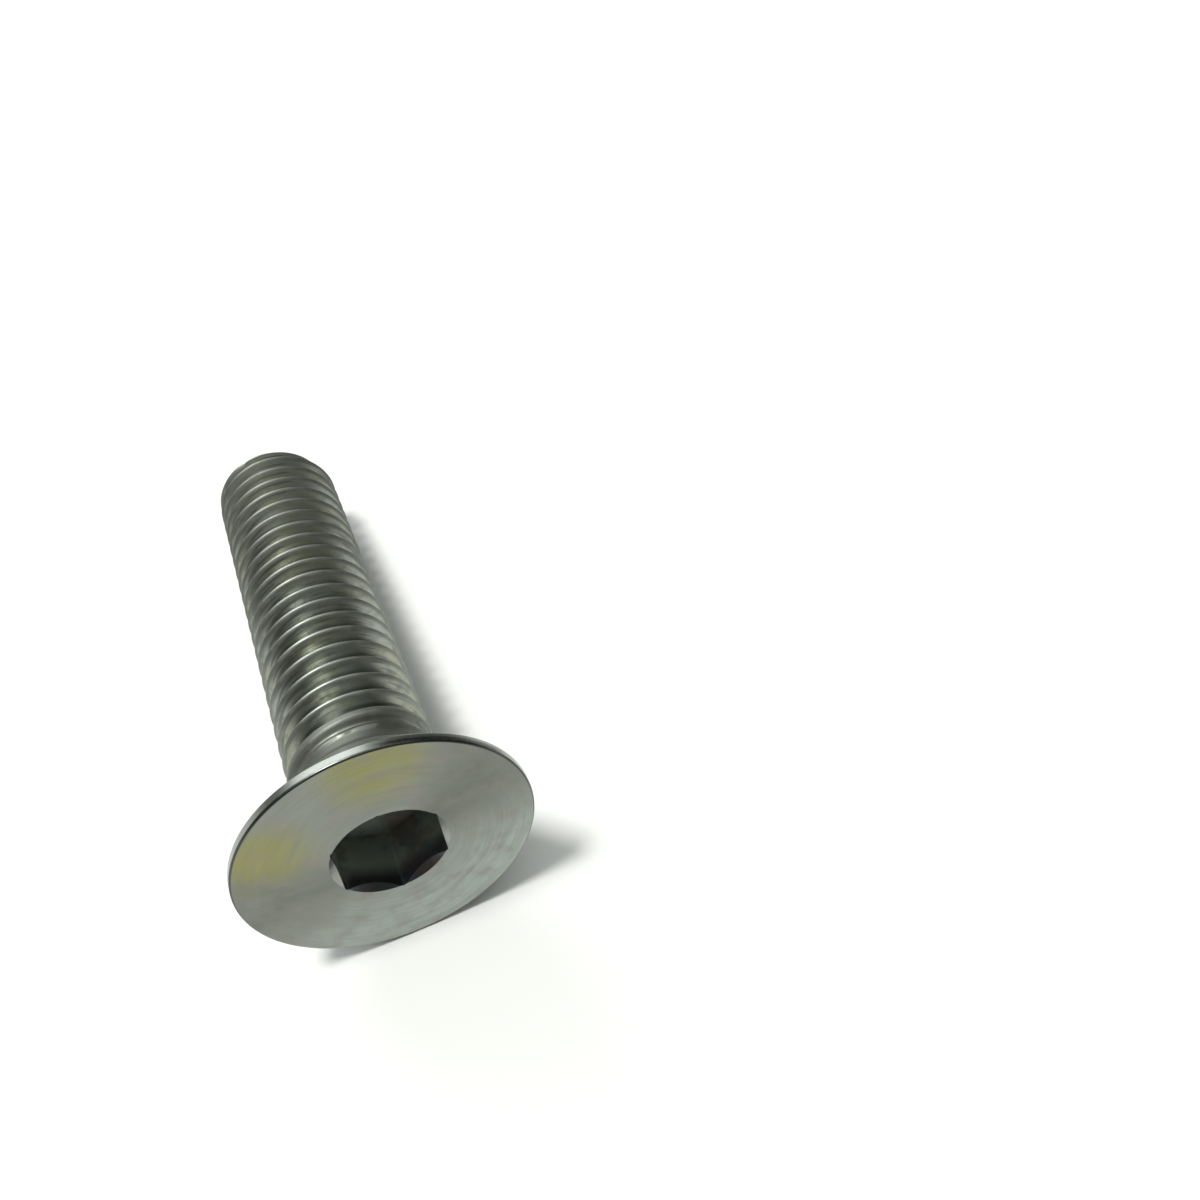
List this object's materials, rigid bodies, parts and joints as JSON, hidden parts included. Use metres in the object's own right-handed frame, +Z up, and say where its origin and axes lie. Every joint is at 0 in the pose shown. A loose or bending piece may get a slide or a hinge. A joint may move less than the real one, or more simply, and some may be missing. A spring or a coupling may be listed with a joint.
{
  "type": "countersunk socket screw",
  "caption": "Countersunk screw with a flat-topped conical head, a hexagon socket and a threaded shank, lying on its side.",
  "frame": {"origin": "on the ground under the middle of the lying screw: the bottom centre of its bounding box", "axes": "+Z is up, +X runs along the ground from the head towards the tip, and the screw's own axis dips 6.4 degrees below +X as it lies on its rim and its tip"},
  "size_m": [0.0258, 0.0112, 0.0113],
  "materials": {
    "stainless": "satin"
  },
  "bodies": {
    "root": {"countersunk_socket_screw": "stainless"}
  },
  "joints": []
}
